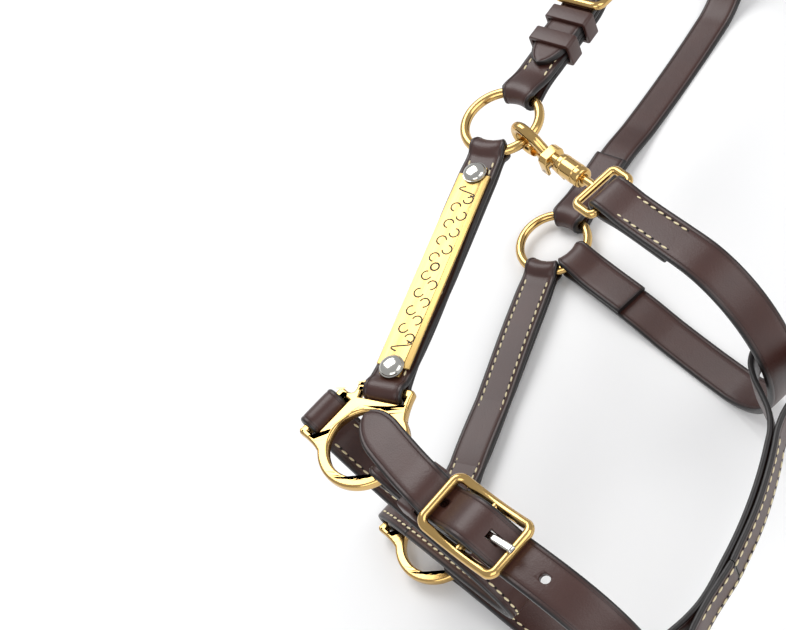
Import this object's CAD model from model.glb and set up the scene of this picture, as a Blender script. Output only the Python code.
"""Leather headcollar: leatherwork, stitching and brass built over the shared frame.

Sizes are in millimetres in the frame's own axes and become metres when a mesh is made.
"""
import math

import bmesh
import bpy
from mathutils import Matrix, Vector
from mathutils.geometry import tessellate_polygon


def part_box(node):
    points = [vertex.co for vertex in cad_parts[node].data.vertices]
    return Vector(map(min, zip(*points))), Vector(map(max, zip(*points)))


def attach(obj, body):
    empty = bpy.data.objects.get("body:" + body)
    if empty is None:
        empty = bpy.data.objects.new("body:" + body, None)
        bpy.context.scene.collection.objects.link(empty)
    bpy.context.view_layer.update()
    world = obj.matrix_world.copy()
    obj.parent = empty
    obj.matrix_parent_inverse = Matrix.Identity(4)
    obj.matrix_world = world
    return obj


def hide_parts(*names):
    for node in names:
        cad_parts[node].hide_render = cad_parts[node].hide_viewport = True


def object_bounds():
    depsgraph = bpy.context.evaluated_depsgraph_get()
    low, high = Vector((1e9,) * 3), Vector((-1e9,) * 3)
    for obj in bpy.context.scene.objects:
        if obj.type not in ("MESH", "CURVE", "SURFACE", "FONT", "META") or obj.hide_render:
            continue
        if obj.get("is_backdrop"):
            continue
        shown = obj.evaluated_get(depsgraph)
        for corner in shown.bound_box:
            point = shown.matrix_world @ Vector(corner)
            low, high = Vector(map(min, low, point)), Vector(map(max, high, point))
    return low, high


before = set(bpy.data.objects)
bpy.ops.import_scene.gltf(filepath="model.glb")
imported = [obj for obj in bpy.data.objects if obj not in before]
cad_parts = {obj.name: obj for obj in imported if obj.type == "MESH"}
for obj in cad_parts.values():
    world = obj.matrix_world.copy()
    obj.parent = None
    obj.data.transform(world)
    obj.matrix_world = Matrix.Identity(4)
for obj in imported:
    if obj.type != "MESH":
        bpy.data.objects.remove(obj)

bl_info = {
    "name": "Leather headcollar",
    "version": (1, 0, 0),
    "blender": (4, 5, 0),
    "location": "View3D > Sidebar > Headcollar",
    "description": "Builds a stitched leather headcollar with brass fittings over its frame",
    "category": "Add Mesh",
}

MM = 0.001

# Leather
STRAP_WIDTH = 19.0
LAYER = 2.6            # one layer of a doubled strap
STRAP = 3.2            # a strap used single
GAP = 0.3              # clearance between neighbouring pieces
NECK = 16.0            # length over which two layers close up behind a bar
CHEEK_NECK = 6.0
RETURN_LENGTH = 42.0   # stitched-back end of a single strap
CHIN_RETURN = 32.0
BILLET_POINT = 17.0
KEEPER_LENGTH = 8.0
KEEPER_WALL = 2.0

# Rings and the cheek square's casting
RING_RADIUS = 18.4     # to the middle of the wire
RING_WIRE = 4.8
SQUARE_INNER = 31.5
SQUARE_BAND = 5.0
SQUARE_THICK = 4.6
SQUARE_EDGE = 1.2
SQUARE_RADIUS = (SQUARE_INNER + SQUARE_BAND) / 2
SQUARE_WEB = 46.0      # degrees from a bar to where the web leaves the ring
SLOT_CORNER = 1.3      # clearance beside a strap in a slot
BAR_STRUT = 2.9
BAR_WIDTH = 4.2
BAR_CORNER = 1.6
CHEEK_BAR = 26.6       # distance of each bar from the ring's centre
NOSE_BAR = 27.0

# Directions of the straps in the floor plane, in degrees
CHEEK_ANGLE = 72.0
NOSE_ANGLE = 138.0
CHIN_ANGLE = -40.0
CROWN_ANGLE = 58.0
THROAT_ANGLE = -47.0

# Courses of the straps
SIDE_SPACING = 100.0   # from the off side up to the near side
FLOOR_STRAP = STRAP / 2 + 0.1
CHEEK_LENGTH = 131.8
NOSE_FOLD = 76.0
CHIN_BUCKLE = 70.0
CHIN_TURN = 100.0
CHIN_REACH = 42.0
CHIN_TIP = -6.0
CHIN_DRIFT = 9.5       # sideways drift of the chin billet's point
CROWN_BUCKLE = 92.0
CROWN_TURN = 165.0
CROWN_REACH = 48.0
CROWN_TIP = 34.0
THROAT_TURN = 108.0
THROAT_REACH = 42.0
JOINING_SWEEP = 86.0

# Buckles
BUCKLE_HALF = 20.0     # centre bar to end bar
BUCKLE_WIRE = 4.2
BUCKLE_BAR = 4.0
BUCKLE_CORNER = 3.5
END_BAR_RISE = 3.5
SLOT_CLEARANCE = 0.7   # beside a strap in a buckle or an eye
TONGUE_WIDTH = 3.2
TONGUE_THICK = 2.5
TONGUE_LENGTH = 23.5
TONGUE_LIFT = 8.0
HOLE_WIDTH = 4.2
HOLE_LENGTH = 5.0
HOLE_PITCH = 27.0

# Nameplate and rivets
PLATE_LENGTH = 114.0
PLATE_WIDTH = 16.0
PLATE_THICK = 1.2
PLATE_NOTCH = (4.5, 3.0)
PLATE_CENTRE = 89.5
RIVET_SPACING = 106.0
RIVET_HEAD = 11.5
RIVET_RISE = 3.0
RIVET_SHANK = 3.2
SCROLL_RADIUS = 2.3    # of the ornament's curls
SCROLL_PITCH = 9.4

# Trigger snap, measured from the ring wire along the throat run
HOOK_RADIUS = 7.2
HOOK_WIRE = 5.2
SADDLE = (14.5, 19.5)
SADDLE_HALF = 5.8
SADDLE_SLOT = 4.0
PIVOT = (17.0, -5.3)
TRIGGER_WIDTH = 3.4
BARREL = (24.0, 40.0)
STEM_WIDTH = 4.2
EYE = (47.0, 58.0)
EYE_WIRE = 4.0
EYE_CORNER = 2.5

# Worked out from the sizes above
DOUBLE_HALF = LAYER + GAP / 2
BAR_HOLE = math.hypot(BAR_WIDTH / 2, SQUARE_THICK / 2 - SQUARE_EDGE) + 1.3 * GAP
CHORD = 0.3
WIRE_HOLE = RING_WIRE / 2 + GAP + CHORD
BAND_HOLE = math.hypot(SQUARE_BAND / 2, SQUARE_THICK / 2 - SQUARE_EDGE) + GAP + CHORD
BUCKLE_HOLE = BUCKLE_BAR / 2 + GAP
ARCH_TOP = BUCKLE_HOLE + LAYER + GAP + STRAP / 2
ARCH_LOW = END_BAR_RISE - BUCKLE_WIRE / 2 - GAP - STRAP / 2
BUCKLE_RISE = DOUBLE_HALF + GAP + STRAP / 2 - ARCH_LOW
BILLET_TOP = BUCKLE_RISE + ARCH_LOW
CLOSED = (STRAP + GAP) / 2
UP = Vector((0, 0, 1))


def direction(degrees):
    """The level unit vector at an angle."""
    return Vector((math.cos(math.radians(degrees)), math.sin(math.radians(degrees)), 0))


RING_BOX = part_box("upper_ring_near")
UPPER = (RING_BOX[0] + RING_BOX[1]) / 2 / MM
SQUARE = UPPER - direction(CHEEK_ANGLE) * (CHEEK_BAR + CHEEK_LENGTH + RING_RADIUS)
NEAR = UPPER.z
OFF = NEAR - SIDE_SPACING


class Run:
    """An upright plane: s runs along the strap, z is height above it, w lies across it."""

    def __init__(self, start, degrees, height=None):
        self.start = Vector((start[0], start[1], NEAR if height is None else height))
        self.along = direction(degrees)
        self.across = direction(degrees + 90)
        self.up = UP

    def at(self, s, z=0.0, w=0.0):
        return self.start + self.along * s + self.up * z + self.across * w


class FloorPlan(Run):
    """A strap set on edge: s and z lie in the floor plane and w is height."""

    def __init__(self, height):
        super().__init__((0, 0), 0, height)
        self.up, self.across = self.across, UP


CHEEK = Run(SQUARE, CHEEK_ANGLE)
NOSE = Run(SQUARE, NOSE_ANGLE)
CHIN = Run(SQUARE, CHIN_ANGLE)
CROWN = Run(UPPER, CROWN_ANGLE)
THROAT = Run(UPPER, THROAT_ANGLE)
LEAD = CHIN.at(CHIN_TURN + CHIN_REACH, -SIDE_SPACING / 2)


# ---------------------------------------------------------------- materials

def linear(code):
    """An sRGB hex colour as linear RGBA."""
    parts = [int(code[i:i + 2], 16) / 255 for i in (0, 2, 4)]
    return tuple(p / 12.92 if p <= 0.04045 else ((p + 0.055) / 1.055) ** 2.4 for p in parts) + (1.0,)


def add(tree, kind, inputs=(), **settings):
    """Add a node; inputs maps socket names or numbers to a value or to another node's output."""
    node = tree.nodes.new(kind)
    for key, value in settings.items():
        setattr(node, key, value)
    for key, value in dict(inputs).items():
        if isinstance(value, bpy.types.NodeSocket):
            tree.links.new(value, node.inputs[key])
        else:
            node.inputs[key].default_value = value
    return node


def finish(name, colour, roughness, metallic=0.0, coat=0.0):
    """A Principled material of one colour, with its tree and shader."""
    made = bpy.data.materials.new(name)
    made.use_nodes = True
    shader = made.node_tree.nodes["Principled BSDF"]
    shader.inputs["Base Color"].default_value = colour
    shader.inputs["Roughness"].default_value = roughness
    shader.inputs["Metallic"].default_value = metallic
    shader.inputs["Coat Weight"].default_value = coat
    shader.inputs["Coat Roughness"].default_value = 0.35
    return made, made.node_tree, shader


def bridle_leather(name, colour, light, edge, roughness=0.42):
    """Drum-dyed bridle leather: mottled colour, waxed sheen and burnished near-black cut edges."""
    made, tree, shader = finish(name, colour, roughness, coat=0.12)
    place = add(tree, "ShaderNodeTexCoord").outputs["Object"]
    # Dye clouds about 14 mm across
    mottle = add(tree, "ShaderNodeTexNoise", {"Vector": place, "Scale": 70.0, "Detail": 4.0})
    blend = add(tree, "ShaderNodeMix", {0: mottle.outputs["Fac"], 6: colour, 7: light}, data_type="RGBA")
    mark = add(tree, "ShaderNodeAttribute", attribute_name="burnish")
    dark = add(tree, "ShaderNodeMix", {0: mark.outputs["Fac"], 6: blend.outputs[2], 7: edge},
               data_type="RGBA")
    tree.links.new(dark.outputs[2], shader.inputs["Base Color"])
    # Pores under 1 mm apart on creases about 3 mm apart
    pores = add(tree, "ShaderNodeTexVoronoi", {"Vector": place, "Scale": 1300.0})
    creases = add(tree, "ShaderNodeTexNoise", {"Vector": place, "Scale": 320.0, "Detail": 3.0})
    height = add(tree, "ShaderNodeMath", {0: pores.outputs["Distance"], 1: creases.outputs["Fac"]})
    bump = add(tree, "ShaderNodeBump", {"Height": height.outputs[0], "Strength": 0.35, "Distance": 0.00012})
    tree.links.new(bump.outputs["Normal"], shader.inputs["Normal"])
    return made


CAST_GRAIN = (60.0, 60.0, 60.0)         # handling marks about 17 mm across
BRUSHED_GRAIN = (40.0, 2600.0, 40.0)    # strokes 25 mm long and under 0.4 mm apart, along the plate


def worked_metal(name, colour, shade, roughness, grain=CAST_GRAIN, turn=0.0):
    """Metal with faint marks; a stretched grain, turned in degrees, makes it brushed."""
    made, tree, shader = finish(name, colour, roughness, metallic=1.0)
    place = add(tree, "ShaderNodeTexCoord").outputs["Object"]
    mapped = add(tree, "ShaderNodeMapping", {"Vector": place, "Rotation": (0, 0, math.radians(-turn))})
    scaled = add(tree, "ShaderNodeMapping", {"Vector": mapped.outputs[0], "Scale": grain})
    noise = add(tree, "ShaderNodeTexNoise", {"Vector": scaled.outputs[0], "Scale": 1.0, "Detail": 4.0})
    blend = add(tree, "ShaderNodeMix", {0: noise.outputs["Fac"], 6: colour, 7: shade}, data_type="RGBA")
    tree.links.new(blend.outputs[2], shader.inputs["Base Color"])
    bump = add(tree, "ShaderNodeBump",
               {"Height": noise.outputs["Fac"], "Strength": 0.3, "Distance": 0.00002})
    tree.links.new(bump.outputs["Normal"], shader.inputs["Normal"])
    return made


MATERIALS = {}


def make_materials(colours):
    """Every material, from the panel's colours and the fixed ones."""
    leather, thread, brass = ((*value, 1.0) for value in (colours.leather, colours.thread, colours.brass))
    MATERIALS.update({
        "leather": bridle_leather("havana", leather, linear("43241C"), linear("0E0706")),
        "lining": bridle_leather("lining", linear("432618"), linear("553320"), linear("160C08"), 0.6),
        "brass": worked_metal("brass", brass, linear("C6A162"), 0.17),
        "plate": worked_metal("plate", linear("D6B878"), linear("BF9D5C"), 0.34, BRUSHED_GRAIN, CHEEK_ANGLE),
        "nickel": worked_metal("nickel", linear("D9D7CF"), linear("C4C2BA"), 0.14),
        "steel": worked_metal("steel", linear("A8A8A8"), linear("8C8C8C"), 0.35),
        "thread": finish("thread", thread, 0.75)[0],
        "awl": finish("awl_hole", linear("0E0806"), 0.9)[0],
        "infill": finish("infill", linear("2A1A10"), 0.6)[0],
    })


# ---------------------------------------------------------------- meshes

def solid(name, points, faces, look, burnish=None, angle=40):
    """A mesh object from points in millimetres."""
    mesh = bpy.data.meshes.new(name)
    mesh.from_pydata([tuple(Vector(p) * MM) for p in points], [], faces)
    bm = bmesh.new()
    bm.from_mesh(mesh)
    bmesh.ops.recalc_face_normals(bm, faces=bm.faces)
    bm.to_mesh(mesh)
    bm.free()
    if burnish is not None:
        layer = mesh.attributes.new("burnish", "FLOAT", "POINT")
        for index, value in enumerate(burnish):
            layer.data[index].value = value
    mesh.shade_smooth()
    mesh.set_sharp_from_angle(angle=math.radians(angle))
    mesh.materials.append(MATERIALS[look])
    obj = bpy.data.objects.new(name, mesh)
    bpy.context.scene.collection.objects.link(obj)
    return obj


def bake(obj):
    """Fix an object's modifiers into its mesh."""
    bpy.context.view_layer.update()
    graph = bpy.context.evaluated_depsgraph_get()
    mesh = bpy.data.meshes.new_from_object(obj.evaluated_get(graph))
    obj.modifiers.clear()
    old = obj.data
    obj.data = mesh
    bpy.data.meshes.remove(old)
    return obj


def bevel(obj, width, segments=3, angle=60):
    """Round an object's sharp edges; width is in millimetres."""
    modifier = obj.modifiers.new("rounded", "BEVEL")
    modifier.width = width * MM
    modifier.segments = segments
    modifier.limit_method = "ANGLE"
    modifier.angle_limit = math.radians(angle)
    modifier.use_clamp_overlap = False
    bake(obj)
    obj.data.shade_smooth()
    obj.data.set_sharp_from_angle(angle=math.radians(60))
    return obj


def cut(obj, tools):
    """Cut tools out of an object and remove them."""
    for tool in tools:
        modifier = obj.modifiers.new("cut", "BOOLEAN")
        modifier.solver = "EXACT"
        modifier.object = tool
    bake(obj)
    for tool in tools:
        bpy.data.objects.remove(tool, do_unlink=True)
    return obj


def join(first, *others):
    """Join loose parts of one piece into its first object."""
    with bpy.context.temp_override(active_object=first, selected_editable_objects=[first, *others]):
        bpy.ops.object.join()
    return first


def prism(name, place, outline, holes, bottom, top, look):
    """Extrude a flat outline with holes; place(u, v, depth) gives the point in space."""
    loops = [outline] + holes
    count = sum(len(loop) for loop in loops)
    points = [place(u, v, bottom) for loop in loops for u, v in loop]
    points += [place(u, v, top) for loop in loops for u, v in loop]
    faces = []
    for triangle in tessellate_polygon([[Vector((u, v, 0)) for u, v in loop] for loop in loops]):
        faces += [tuple(triangle), tuple(index + count for index in reversed(triangle))]
    first = 0
    for loop in loops:
        for index in range(len(loop)):
            here, after = first + index, first + (index + 1) % len(loop)
            faces.append((here, after, after + count, here + count))
        first += len(loop)
    return solid(name, points, faces, look)


def arc(centre, radius, start, end, steps):
    """Points along an arc, angles in degrees."""
    angles = [math.radians(start + (end - start) * step / steps) for step in range(steps + 1)]
    return [(centre[0] + radius * math.cos(a), centre[1] + radius * math.sin(a)) for a in angles]


def tube(name, path, radius, look, closed=False, sides=20, hint=UP, flat=1.0):
    """A round or flattened bar along a path."""
    path = [Vector(p) for p in path]
    count = len(path)
    points, faces, normal = [], [], None
    for index, point in enumerate(path):
        before = path[index - 1] if closed or index else point
        after = path[(index + 1) % count] if closed or index < count - 1 else point
        tangent = (after - before).normalized()
        guide = hint if normal is None else normal
        normal = (guide - tangent * guide.dot(tangent)).normalized()
        side_way = tangent.cross(normal)
        for side in range(sides):
            a = 2 * math.pi * side / sides
            points.append(point + (normal * math.cos(a) * flat + side_way * math.sin(a)) * radius)
    for index in range(count if closed else count - 1):
        a, b = index * sides, (index + 1) % count * sides
        for side in range(sides):
            c = (side + 1) % sides
            faces.append((a + side, a + c, b + c, b + side))
    if not closed:
        faces += [tuple(range(sides)), tuple(range((count - 1) * sides, count * sides))]
    return solid(name, points, faces, look)


def turned(name, foot, axis, profile, look, sides=48, closed=False):
    """A lathe piece about an axis; profile is (radius, height) and may close on itself."""
    first = axis.orthogonal().normalized()
    second = axis.cross(first)
    points, rows, faces = [], [], []
    for radius, height in profile:
        row = []
        for side in range(1 if radius == 0.0 else sides):
            a = 2 * math.pi * side / sides
            row.append(len(points))
            points.append(foot + axis * height + (first * math.cos(a) + second * math.sin(a)) * radius)
        rows.append(row)
    for above, below in zip(rows, rows[1:] + rows[:1] if closed else rows[1:]):
        for side in range(sides):
            after = (side + 1) % sides
            corners = [above[side % len(above)], below[side % len(below)],
                       below[after % len(below)], above[after % len(above)]]
            faces.append(tuple(dict.fromkeys(corners)))
    return solid(name, points, faces, look)


# ---------------------------------------------------------------- straps

def smooth(path, step=1.5):
    """A finer path through the same points."""
    points = [Vector(p) for p in path]
    slopes = []
    for index, point in enumerate(points):
        before = points[max(index - 1, 0)]
        after = points[min(index + 1, len(points) - 1)]
        h0, h1 = max((point - before).length, 1e-6), max((after - point).length, 1e-6)
        if index in (0, len(points) - 1):
            slopes.append((after - before) / max((after - before).length, 1e-6))
        else:
            slopes.append(((after - point) / h1 * h0 + (point - before) / h0 * h1) / (h0 + h1))
    fine = []
    for index in range(len(points) - 1):
        a, b = points[index], points[index + 1]
        length = (b - a).length
        steps = max(int(length / step), 1)
        for number in range(steps):
            t = number / steps
            t2, t3 = t * t, t * t * t
            fine.append(a * (2 * t3 - 3 * t2 + 1) + slopes[index] * length * (t3 - 2 * t2 + t)
                        + b * (3 * t2 - 2 * t3) + slopes[index + 1] * length * (t3 - t2))
    return fine + [points[-1]]


def pointed(distance):
    """Share of the full width at a distance from a billet's point."""
    share = min(max(distance / BILLET_POINT, 0.0), 1.0)
    return max(math.sqrt(1.0 - (1.0 - share) ** 2), 0.05)


def section(half, thick):
    """(w, z, burnish) round a strap: rounded edges and a crease near each edge."""
    radius = min(thick / 2 - 0.05, 1.15)
    flat = thick / 2
    top = []
    for share, drop, mark in ((0.0, 0, 0.55), (0.8, 0, 0.15), (1.05, 0.16, 0.7), (1.3, 0.02, 0.05),
                              (3.2, -0.05, 0), (6.0, -0.06, 0)):
        w = max(half - radius - share * min(half / 5.0, 1.0), 0.0)
        top.append((w, flat - drop, mark))
    right = [(half - radius + radius * math.sin(a), flat - radius + radius * math.cos(a), 1.0)
             for a in (0.45, 0.9, 1.35, math.pi / 2)]
    quarter = list(reversed(top)) + right
    ring = quarter + [(w, -z, m) for w, z, m in reversed(quarter[:-1])]
    return ring + [(-w, z, m) for w, z, m in reversed(ring)]


def ribbon(name, run, path, thick, taper=None, look="leather"):
    """A strap of leather along a path of (s, z) points."""
    line = smooth(path)
    travelled = lengths_along(line)
    points, marks, faces = [], [], []
    for index, point in enumerate(line):
        ahead = line[min(index + 1, len(line) - 1)] - line[max(index - 1, 0)]
        tangent = ahead.normalized()
        normal = Vector((-tangent.y, tangent.x))
        half = STRAP_WIDTH / 2 * (taper(travelled[-1] - travelled[index]) if taper else 1.0)
        end = min(travelled[index], travelled[-1] - travelled[index])
        pinch = 1.0 if end > 0.8 else 0.8 + 0.2 * end / 0.8
        for w, z, mark in section(half, thick * pinch):
            points.append(run.at(point.x + normal.x * z, point.y + normal.y * z, w))
            marks.append(max(mark, 1.0 if end < 0.9 else 0.0))
    count = len(points) // len(line)
    for index in range(len(line) - 1):
        for side in range(count):
            c = (side + 1) % count
            base = index * count
            faces.append((base + side, base + c, base + count + c, base + count + side))
    faces += [tuple(range(count)), tuple(range(len(points) - count, len(points)))]
    return solid(name, points, faces, look, marks, 50)


def curve_fold(obj, centre, away, across, radius):
    """Curve a strap's fold round a ring's wire, easing back to straight further along."""
    reach = radius + 17.0
    for vertex in obj.data.vertices:
        place = vertex.co / MM - centre
        distance, w = place.dot(away), place.dot(across)
        if distance <= 0.0 or place.length > reach + STRAP_WIDTH / 2:
            continue
        share = min(max((distance - radius - 5.0) / 12.0, 0.0), 1.0)
        share = 1.0 - share * share * (3.0 - 2.0 * share)
        turn = w / radius
        lever = min(distance, radius)
        sag = lever * (1.0 - math.cos(turn)) * share
        spread = (lever * math.sin(turn) - w) * share
        vertex.co += (across * spread - away * sag) * MM


def drift_billet(obj):
    """The chin billet's free end wanders off its chape's line."""
    start = CHIN_BUCKLE - BUCKLE_HALF - 4.0
    for vertex in obj.data.vertices:
        place = vertex.co / MM - CHIN.start
        if abs(place.z) < 2 * BUCKLE_RISE:
            share = max(start - place.dot(CHIN.along), 0.0) / (start - CHIN_TIP)
            vertex.co += CHIN.across * (CHIN_DRIFT * share ** 1.3 * MM)


def nudge(here, towards):
    """A point moved by the clearance towards another."""
    step = (Vector(towards) - Vector(here)).normalized() * GAP
    return here[0] + step.x, here[1] + step.y


def lengths_along(path):
    """Distance of each point from the path's start."""
    result = [0.0]
    for (s0, z0), (s1, z1) in zip(path, path[1:]):
        result.append(result[-1] + math.hypot(s1 - s0, z1 - z0))
    return result


def doubled(centre, layer, first_hole, last_hole, first_neck=NECK, last_neck=NECK):
    """The four stretches of a strap looped round two bars and closed up between them."""
    distance = lengths_along(centre)
    closed = (layer + GAP) / 2

    def opening(run_length, hole, neck):
        share = min(run_length / neck, 1.0)
        return closed + (hole + layer / 2 - closed) * 0.5 * (1.0 + math.cos(math.pi * share))

    upper, lower = [], []
    for index, (s, z) in enumerate(centre):
        s0, z0 = centre[max(index - 1, 0)]
        s1, z1 = centre[min(index + 1, len(centre) - 1)]
        tangent = Vector((s1 - s0, z1 - z0)).normalized()
        half = max(opening(distance[index], first_hole, first_neck),
                   opening(distance[-1] - distance[index], last_hole, last_neck))
        upper.append((s - tangent.y * half, z + tangent.x * half))
        lower.append((s + tangent.y * half, z - tangent.x * half))

    def turn(bar, towards, hole):
        heading = math.degrees(math.atan2(bar[1] - towards[1], bar[0] - towards[0]))
        return arc(bar, hole + layer / 2, heading + 90, heading - 90, 8)[1:-1]

    return (turn(centre[0], centre[1], first_hole), upper,
            turn(centre[-1], centre[-2], last_hole), list(reversed(lower)))


def folded(centre, hole, side, return_length=RETURN_LENGTH):
    """A single strap's end: from its stitched-back tail, round a bar and out along one side."""
    distance = lengths_along(centre)
    closed = (STRAP + GAP) / 2
    wide = hole + STRAP / 2
    out, back = [], []
    for index, (s, z) in enumerate(centre):
        s0, z0 = centre[max(index - 1, 0)]
        s1, z1 = centre[min(index + 1, len(centre) - 1)]
        tangent = Vector((s1 - s0, z1 - z0)).normalized()
        share = min(distance[index] / NECK, 1.0)
        half = closed + (wide - closed) * 0.5 * (1.0 + math.cos(math.pi * share))
        out.append((s - tangent.y * half * side, z + tangent.x * half * side))
        if distance[index] <= return_length:
            back.append((s + tangent.y * half * side, z - tangent.x * half * side))
    (s0, z0), (s1, z1) = centre[:2]
    heading = math.degrees(math.atan2(z1 - z0, s1 - s0))
    round_bar = arc(centre[0], wide, heading - 90 * side, heading - 270 * side, 8)[1:-1]
    return list(reversed(back)) + round_bar + out


def level_steps(start, end, count, height):
    """Points from start to end at a height that may vary with s."""
    return [(start + (end - start) * step / count, height(start + (end - start) * step / count))
            for step in range(count + 1)]


def fold_line(bar, height=0.0):
    """The level centre line of a fold that starts at a bar."""
    return level_steps(bar, bar + NECK, 5, lambda s: height) + [(bar + RETURN_LENGTH, height)]


def half_turn(start, reach, top, bottom, steps=24):
    """A strap's half ellipse from the near side down to the off side."""
    middle, half = (top + bottom) / 2, (top - bottom) / 2
    angles = [math.pi / 2 - math.pi * step / steps for step in range(steps + 1)]
    return [(start + reach * math.cos(a), middle + half * math.sin(a)) for a in angles]


def spline(first, control, last, steps):
    """A quadratic curve between two points."""
    points = []
    for step in range(steps + 1):
        t = step / steps
        points.append(tuple((1 - t) ** 2 * a + 2 * t * (1 - t) * b + t * t * c
                            for a, b, c in zip(first, control, last)))
    return points


def tongue_slope():
    """The tongue rests on the end bar, so its slope follows from the buckle's sizes."""
    rest = END_BAR_RISE + BUCKLE_WIRE / 2 + GAP
    slope = math.atan2(rest, BUCKLE_HALF)
    for _ in range(6):
        slope = math.atan2(rest + TONGUE_THICK / 2 / math.cos(slope), BUCKLE_HALF)
    return slope


def arch(centre):
    """Height of a billet's middle as it crosses a buckle."""
    middle, half = (ARCH_TOP + ARCH_LOW) / 2, (ARCH_TOP - ARCH_LOW) / 2
    return lambda s: BUCKLE_RISE + middle + half * math.cos(math.pi * (s - centre) / BUCKLE_HALF)


def tongue_hole(run, centre):
    """The tool for the billet hole that the tongue passes through."""
    slope = tongue_slope()
    lifted = slope + math.radians(TONGUE_LIFT)
    clear = TONGUE_THICK / 2 + 1.2 * GAP

    def beside(angle, distance, offset):
        return (centre + distance * math.cos(angle) - offset * math.sin(angle),
                BUCKLE_RISE + distance * math.sin(angle) + offset * math.cos(angle))

    outline = [beside(slope, 3.0, -clear), beside(slope, BUCKLE_HALF - 2.0, -clear),
               beside(lifted, BUCKLE_HALF - 2.0, clear), beside(lifted, 3.0, clear)]
    return prism("tool", lambda s, z, w: run.at(s, z, w), outline, [],
                 -HOLE_WIDTH / 2, HOLE_WIDTH / 2, "awl")


def punched(run, s, z):
    """The tool for one oval adjustment hole."""
    shift = (HOLE_LENGTH - HOLE_WIDTH) / 2
    oval = [(x + shift, y) for x, y in arc((s, 0), HOLE_WIDTH / 2, -90, 90, 10)]
    oval += [(x - shift, y) for x, y in arc((s, 0), HOLE_WIDTH / 2, 90, 270, 10)]
    return prism("tool", lambda u, w, depth: run.at(u, z + depth, w), oval, [], -6.0, 6.0, "awl")


# ---------------------------------------------------------------- stitches

STITCH_ROW = 6.0                    # distance of each row from a strap's middle
STITCH_PITCH = 4.3
STITCH_SLANT = math.radians(7)
DASH_SIZE = (1.55 * MM, 0.47 * MM, 0.42 * MM)   # half sizes of a thread dash
PIT_SIZE = (0.62 * MM, 0.55 * MM, 0.2 * MM)     # half sizes of an awl hole
PIT_DEPTH = 0.14 * MM


def stitch_tree():
    """Geometry nodes: thread dashes and awl holes set along stitch lines."""
    tree = bpy.data.node_groups.new("stitching", "GeometryNodeTree")
    face = tree.interface
    face.new_socket("Lines", in_out="INPUT", socket_type="NodeSocketGeometry")
    pitch = face.new_socket("Pitch", in_out="INPUT", socket_type="NodeSocketFloat")
    thread = face.new_socket("Thread", in_out="INPUT", socket_type="NodeSocketMaterial")
    hole = face.new_socket("Hole", in_out="INPUT", socket_type="NodeSocketMaterial")
    face.new_socket("Stitches", in_out="OUTPUT", socket_type="NodeSocketGeometry")
    given = add(tree, "NodeGroupInput").outputs
    curve = add(tree, "GeometryNodeMeshToCurve", {"Mesh": given["Lines"]})
    spaced = add(tree, "GeometryNodeResampleCurve", {"Curve": curve.outputs[0], "Length": given["Pitch"]},
                 mode="LENGTH")
    tangent = add(tree, "GeometryNodeInputTangent")
    raised = add(tree, "GeometryNodeInputNamedAttribute", {"Name": "up"}, data_type="FLOAT_VECTOR")
    along = add(tree, "FunctionNodeAlignRotationToVector", {"Vector": tangent.outputs[0]}, axis="X")
    upright = add(tree, "FunctionNodeAlignRotationToVector",
                  {"Rotation": along.outputs[0], "Vector": raised.outputs[0]}, axis="Z", pivot_axis="X")
    slant = add(tree, "FunctionNodeRotateRotation",
                {"Rotation": upright.outputs[0], "Rotate By": (0, 0, STITCH_SLANT)},
                rotation_space="LOCAL")
    dash = add(tree, "GeometryNodeMeshUVSphere", {"Segments": 10, "Rings": 7, "Radius": 1.0})
    shaped = add(tree, "GeometryNodeTransform",
                 {"Geometry": dash.outputs[0], "Scale": DASH_SIZE})
    soft = add(tree, "GeometryNodeSetShadeSmooth", {"Geometry": shaped.outputs[0]})
    dashes = add(tree, "GeometryNodeInstanceOnPoints",
                 {"Points": spaced.outputs[0], "Instance": soft.outputs[0], "Rotation": slant.outputs[0]})
    plain = add(tree, "GeometryNodeRealizeInstances", {"Geometry": dashes.outputs[0]})
    sewn = add(tree, "GeometryNodeSetMaterial", {"Geometry": plain.outputs[0], "Material": given["Thread"]})
    pit = add(tree, "GeometryNodeTransform",
              {"Geometry": dash.outputs[0], "Translation": (STITCH_PITCH / 2 * MM, 0, -PIT_DEPTH),
               "Scale": PIT_SIZE})
    pits = add(tree, "GeometryNodeInstanceOnPoints",
               {"Points": spaced.outputs[0], "Instance": pit.outputs[0], "Rotation": slant.outputs[0]})
    real = add(tree, "GeometryNodeRealizeInstances", {"Geometry": pits.outputs[0]})
    pierced = add(tree, "GeometryNodeSetMaterial", {"Geometry": real.outputs[0], "Material": given["Hole"]})
    both = tree.nodes.new("GeometryNodeJoinGeometry")
    for part in (pierced, sewn):
        tree.links.new(part.outputs[0], both.inputs[0])
    add(tree, "NodeGroupOutput", {"Stitches": both.outputs[0]})
    return tree, {"pitch": pitch.identifier, "thread": thread.identifier, "hole": hole.identifier}


def row(run, path, w, side, thick, after=0.0, before=0.0):
    """One stitch line on a strap's left (+1) or right (-1) face, cut back at both ends."""
    line = smooth(path)
    total = lengths_along(line)
    points = []
    for index, point in enumerate(line):
        if not after <= total[index] <= total[-1] - before:
            continue
        tangent = (line[min(index + 1, len(line) - 1)] - line[max(index - 1, 0)]).normalized()
        normal = Vector((-tangent.y, tangent.x)) * side
        spot = point + normal * (thick / 2 + 0.08)
        points.append((run.at(spot.x, spot.y, w), run.up * normal.y + run.along * normal.x))
    return points


def rows(run, path, side, thick, after=0.0, before=0.0):
    """The two stitch lines of a strap's face."""
    return [row(run, path, w, side, thick, after, before) for w in (-STITCH_ROW, STITCH_ROW)]


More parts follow.
